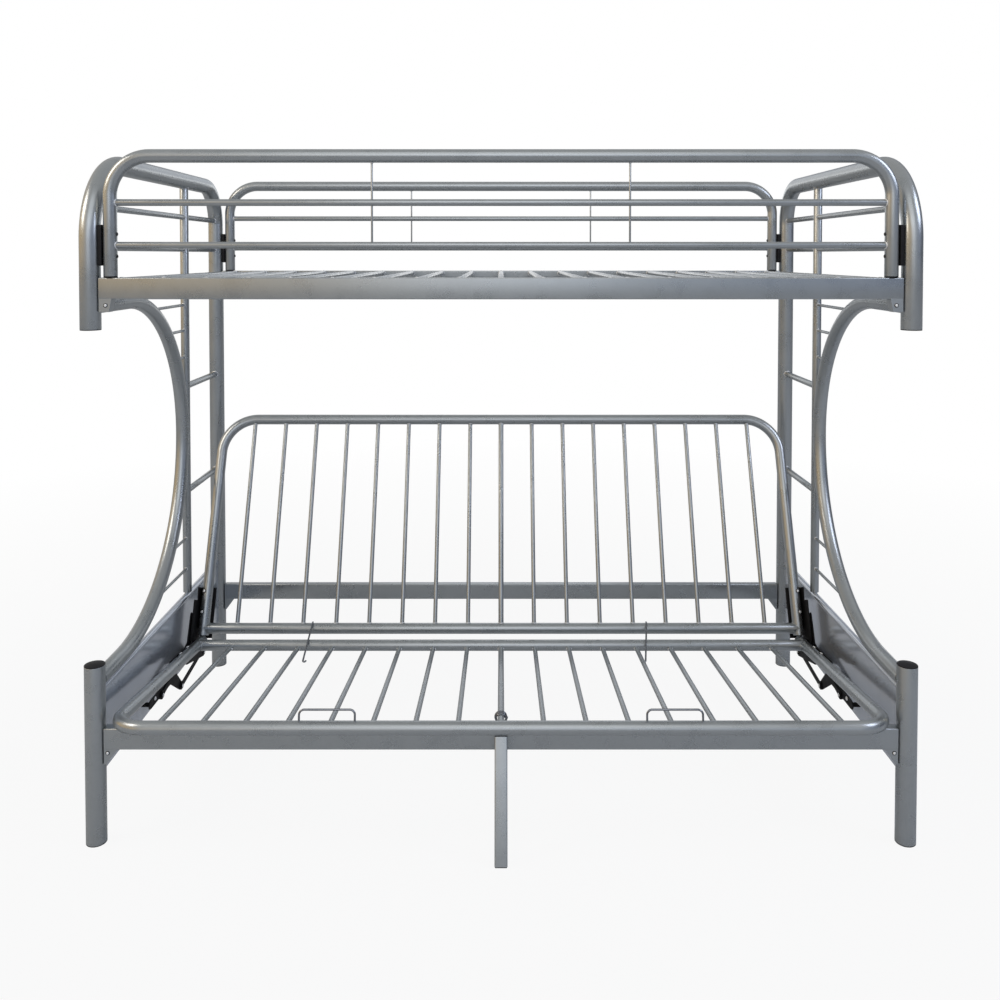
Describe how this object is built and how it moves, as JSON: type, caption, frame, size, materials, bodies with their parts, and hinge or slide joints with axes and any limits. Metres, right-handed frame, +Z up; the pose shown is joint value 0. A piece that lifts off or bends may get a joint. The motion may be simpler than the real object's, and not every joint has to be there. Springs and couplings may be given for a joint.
{
  "type": "futon bunk bed",
  "caption": "Tubular metal bunk bed with a slatted upper deck, C-shaped ends with ladder rungs, and a slatted futon below that folds flat into a bed.",
  "frame": {"origin": "on the floor, at the middle of the bed's footprint", "axes": "+X to the right along the bed as seen from its front, +Y to the rear, +Z up"},
  "size_m": [1.9812, 1.118, 1.6509],
  "materials": {
    "silver_paint": "metallic silver powder coat, satin",
    "panel_gloss": "metallic silver coat on sheet, glossy",
    "black_steel": "black coated steel plate, satin",
    "black_plastic": "black moulded plastic, matte",
    "bright_wire": "bright steel wire"
  },
  "bodies": {
    "frame": {"end_frame_left": "silver_paint", "front_post_left": "silver_paint", "c_tube_left": "silver_paint", "end_ladder_left": "silver_paint", "side_panel_left": "panel_gloss", "foot_plug_front_left": "black_plastic", "foot_plug_rear_left": "black_plastic", "upper_post_plug_left": "black_plastic", "post_cap_left": "black_plastic", "mechanism_base_left": "black_steel", "end_frame_right": "silver_paint", "front_post_right": "silver_paint", "c_tube_right": "silver_paint", "end_ladder_right": "silver_paint", "side_panel_right": "panel_gloss", "foot_plug_front_right": "black_plastic", "foot_plug_rear_right": "black_plastic", "upper_post_plug_right": "black_plastic", "post_cap_right": "black_plastic", "mechanism_base_right": "black_steel", "upper_rail_front": "silver_paint", "lower_rail_front": "silver_paint", "guard_rail_front": "silver_paint", "guard_plug_front_left": "black_plastic", "guard_spacer_front_left": "black_plastic", "guard_plug_front_right": "black_plastic", "guard_spacer_front_right": "black_plastic", "upper_rail_rear": "silver_paint", "lower_rail_rear": "silver_paint", "guard_rail_rear": "silver_paint", "guard_plug_rear_left": "black_plastic", "guard_spacer_rear_left": "black_plastic", "guard_plug_rear_right": "black_plastic", "guard_spacer_rear_right": "black_plastic", "upper_deck": "silver_paint", "centre_leg": "silver_paint", "centre_leg_plug": "black_plastic", "centre_leg_shoe": "black_plastic"},
    "rocker_left": {"rear_rocker_left": "black_steel"},
    "seat": {"seat_frame": "silver_paint", "mattress_stop_left": "bright_wire", "mattress_hook_left": "bright_wire", "seat_bracket_left": "black_steel", "mattress_stop_right": "bright_wire", "mattress_hook_right": "bright_wire", "seat_bracket_right": "black_steel", "slat_ring": "bright_wire"},
    "back": {"back_frame": "silver_paint", "back_bracket_left": "black_steel", "back_bracket_right": "black_steel"},
    "rocker_right": {"rear_rocker_right": "black_steel"},
    "link_left": {"front_link_left": "black_steel"},
    "link_right": {"front_link_right": "black_steel"}
  },
  "joints": [
    {"name": "sofa_to_bed", "type": "hinge", "parent": "frame", "child": "rocker_left", "pos_m": [-0.9354, 0.05763, 0.143], "axis": [1, 0, 0], "range_deg": [0, 140.38]},
    {"name": "seat_on_rocker", "type": "hinge", "parent": "rocker_left", "child": "seat", "pos_m": [-0.9354, 0.24163, 0.165], "axis": [1, 0, 0], "range_deg": [-133.95, 0]},
    {"name": "back_fold", "type": "hinge", "parent": "seat", "child": "back", "pos_m": [0, 0.18903, 0.21175], "axis": [1, 0, 0], "range_deg": [-74.3, 0]},
    {"name": "rear_rocker_right_turn", "type": "hinge", "parent": "frame", "child": "rocker_right", "pos_m": [0.9354, 0.05763, 0.143], "axis": [1, 0, 0], "range_deg": [0, 140.39]},
    {"name": "front_link_left_turn", "type": "hinge", "parent": "frame", "child": "link_left", "pos_m": [-0.9354, -0.10187, 0.1892], "axis": [1, 0, 0], "range_deg": [0, 140.02]},
    {"name": "front_link_right_turn", "type": "hinge", "parent": "frame", "child": "link_right", "pos_m": [0.9354, -0.10187, 0.1892], "axis": [1, 0, 0], "range_deg": [0, 140.02]}
  ],
  "couplings": [
    {"joint": "seat_on_rocker", "follows": "sofa_to_bed", "ratio": -0.95391},
    {"joint": "back_fold", "follows": "sofa_to_bed", "ratio": -0.52919},
    {"joint": "rear_rocker_right_turn", "follows": "sofa_to_bed", "ratio": 1},
    {"joint": "front_link_left_turn", "follows": "sofa_to_bed", "ratio": 0.99735},
    {"joint": "front_link_right_turn", "follows": "sofa_to_bed", "ratio": 0.99735}
  ]
}
